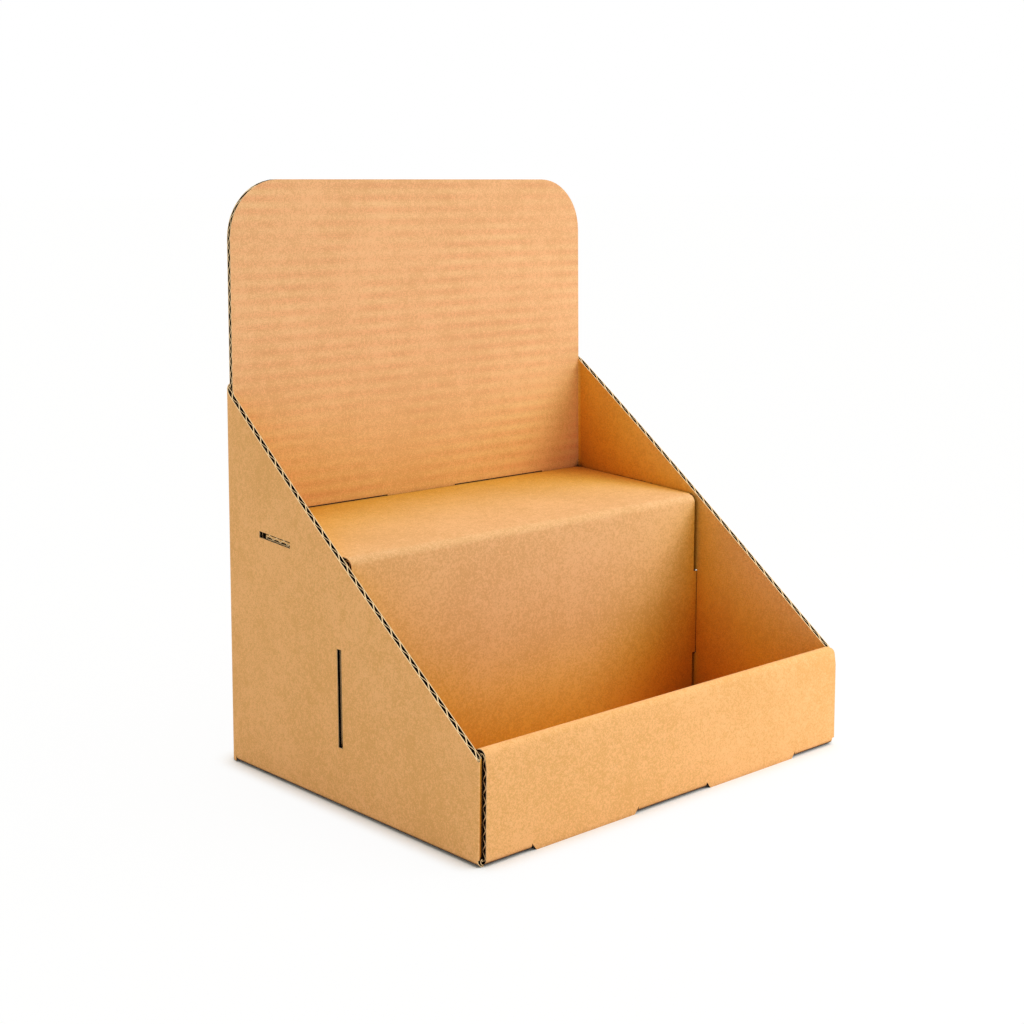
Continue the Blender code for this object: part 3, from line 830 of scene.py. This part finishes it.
# The inside liner and the insert get painted shade in their recesses
inside = kraft("kraft_inside", (0.89, 0.495, 0.245, 1.0), (0.75, 0.395, 0.175, 1.0), True)
insert = kraft("kraft_insert", (0.82, 0.475, 0.225, 1.0), (0.695, 0.38, 0.155, 1.0), True)
cut_edge = paper("cut_edge", (0.95, 0.74, 0.46, 1.0), (0.80, 0.52, 0.26, 1.0), CUT_GRAIN)
# Painted shade: the fluting is coloured near black for the shade inside the flutes
shaded_fluting = paper("fluting_painted_shade", (0.016, 0.007, 0.003, 1.0), (0.009, 0.004, 0.002, 1.0),
               FLUTING_GRAIN)
stand_slots = (outside, inside, cut_edge, shaded_fluting)
step_slots = (insert, insert, cut_edge, shaded_fluting)

stand = board("stand", [
    (tray_path, tray_spans, in_x),
    (lip_path, lip_spans, in_x),
    (right_side_path, right_spans, right_plan),
    (left_side_path, left_spans, left_plan),
    (fold_path, fold_spans, right_section),
    (fold_path, left_fold_spans, left_section),
], stand_slots)
step = board("step", [(step_path, step_spans, in_x)], step_slots)

for obj in stand:
    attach(obj, "root")
for obj in step:
    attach(obj, "root")
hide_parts("folded_stand")
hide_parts("step_insert")


# Floor and world
FLOOR_HALF = 30.0
FLOOR_OPEN = (0.45, 0.95)
FLOOR_WHITE = 0.94
STUDIO_COLOUR, STUDIO_STRENGTH = (1.0, 0.98, 0.86, 1.0), 0.56

# Camera, fitted to the photo, in pixels of the image where the name says so
IMAGE_PX, FOCAL_PX, SHIFT_PX = 1024, 1704.34, -42.0
SENSOR = 36.0
CLIP_START = 0.05
CAMERA_YAW, CAMERA_PITCH, CAMERA_ROLL = radians(42.277), radians(9.576), radians(-0.058)
CAMERA_PLACE = (-0.58163, -0.62134, 0.29150)

# Lights
SUN_STRENGTH, SUN_ANGLE, SUN_DIRECTION = 1.68, radians(60.0), (0.2, 0.0, 0.98)
SOFTBOX_POWER, SOFTBOX_SIZE = 0.96, 0.25
SOFTBOX_PLACE, SOFTBOX_TARGET = (0.38, -0.36, 0.20), (0.0, 0.0, 0.08)


def light_path(tree):
    """Returns two sockets that are 1 for rays that see plain white: those of the camera, and
    those that are mirrored or let through."""
    path = node(tree, "ShaderNodeLightPath")
    mirrored = maths(tree, "MAXIMUM", path.outputs["Is Glossy Ray"],
                     path.outputs["Is Transmission Ray"])
    return path.outputs["Is Camera Ray"], mirrored


def floor():
    """A wide pale floor, seen by the camera as nearly white with a faint shadow."""
    mesh = bpy.data.meshes.new("floor")
    corners = [(FLOOR_HALF * x, FLOOR_HALF * y, 0) for x, y in ((-1, -1), (1, -1), (1, 1), (-1, 1))]
    mesh.from_pydata(corners, [], [(0, 1, 2, 3)])
    obj = add_object("floor", mesh)
    material = bpy.data.materials.new("floor_white")
    material.use_nodes = True
    tree = material.node_tree
    shader = tree.nodes["Principled BSDF"]
    shader.inputs["Base Color"].default_value = (0.90, 0.90, 0.90, 1.0)
    shader.inputs["Roughness"].default_value = 0.9
    shader.inputs["Specular IOR Level"].default_value = 0.0
    white = node(tree, "ShaderNodeEmission", {"Color": WHITE, "Strength": 1.0})
    camera_ray, mirrored_ray = light_path(tree)
    near = node(tree, "ShaderNodeAmbientOcclusion", {"Distance": FLOOR_REACH}, samples=12)
    free = spread(tree, near.outputs["AO"], *FLOOR_OPEN, 0.0, FLOOR_WHITE)
    share = maths(tree, "MAXIMUM", maths(tree, "MULTIPLY", camera_ray, free), mirrored_ray)
    mixer = node(tree, "ShaderNodeMixShader", {0: share, 1: shader.outputs[0], 2: white.outputs[0]})
    tree.links.new(mixer.outputs[0], tree.nodes["Material Output"].inputs["Surface"])
    mesh.materials.append(material)


def world():
    """An even pale studio around the object, white where it is seen."""
    scene = bpy.context.scene
    scene.world = bpy.data.worlds.new("studio")
    scene.world.use_nodes = True
    tree = scene.world.node_tree
    background = tree.nodes["Background"]
    background.inputs["Color"].default_value = STUDIO_COLOUR
    background.inputs["Strength"].default_value = STUDIO_STRENGTH
    plain = node(tree, "ShaderNodeBackground", {"Color": WHITE, "Strength": 1.0})
    seen = maths(tree, "MAXIMUM", *light_path(tree))
    shaders = {0: seen, 1: background.outputs[0], 2: plain.outputs[0]}
    mixer = node(tree, "ShaderNodeMixShader", shaders)
    tree.links.new(mixer.outputs[0], tree.nodes["World Output"].inputs["Surface"])


def aim(obj, direction):
    """Turns a lamp so that it shines in a direction."""
    obj.rotation_mode = "QUATERNION"
    obj.rotation_quaternion = direction.to_track_quat("-Z", "Y")


def sun():
    """The soft main light, which shines from almost straight above."""
    light = bpy.data.lights.new("key", "SUN")
    light.energy = SUN_STRENGTH
    light.angle = SUN_ANGLE
    aim(add_object("key", light), -Vector(SUN_DIRECTION))


def softbox():
    """A square lamp close to the front, turned towards the object."""
    light = bpy.data.lights.new("side_softbox", "AREA")
    light.energy = SOFTBOX_POWER
    light.size = SOFTBOX_SIZE
    obj = add_object("side_softbox", light)
    obj.location = SOFTBOX_PLACE
    aim(obj, Vector(SOFTBOX_TARGET) - Vector(SOFTBOX_PLACE))


def camera():
    """The camera that matches the photo."""
    yaw, pitch, roll = CAMERA_YAW, CAMERA_PITCH, CAMERA_ROLL
    forward = Vector((sin(yaw) * cos(pitch), cos(yaw) * cos(pitch), -sin(pitch)))
    right = Vector((cos(yaw), -sin(yaw), 0.0))
    up = right.cross(forward)
    turned_right = right * cos(roll) + up * sin(roll)
    turned_up = -right * sin(roll) + up * cos(roll)
    data = bpy.data.cameras.new("camera")
    data.sensor_width = SENSOR
    data.lens = FOCAL_PX / IMAGE_PX * SENSOR
    data.shift_y = SHIFT_PX / IMAGE_PX
    data.clip_start = CLIP_START
    obj = add_object("camera", data)
    basis = Matrix((turned_right, turned_up, -forward)).transposed()
    obj.rotation_mode = "QUATERNION"
    obj.rotation_quaternion = basis.to_quaternion()
    obj.location = CAMERA_PLACE
    bpy.context.scene.camera = obj


floor()
world()
sun()
softbox()
camera()
bpy.context.scene.view_settings.view_transform = "Standard"
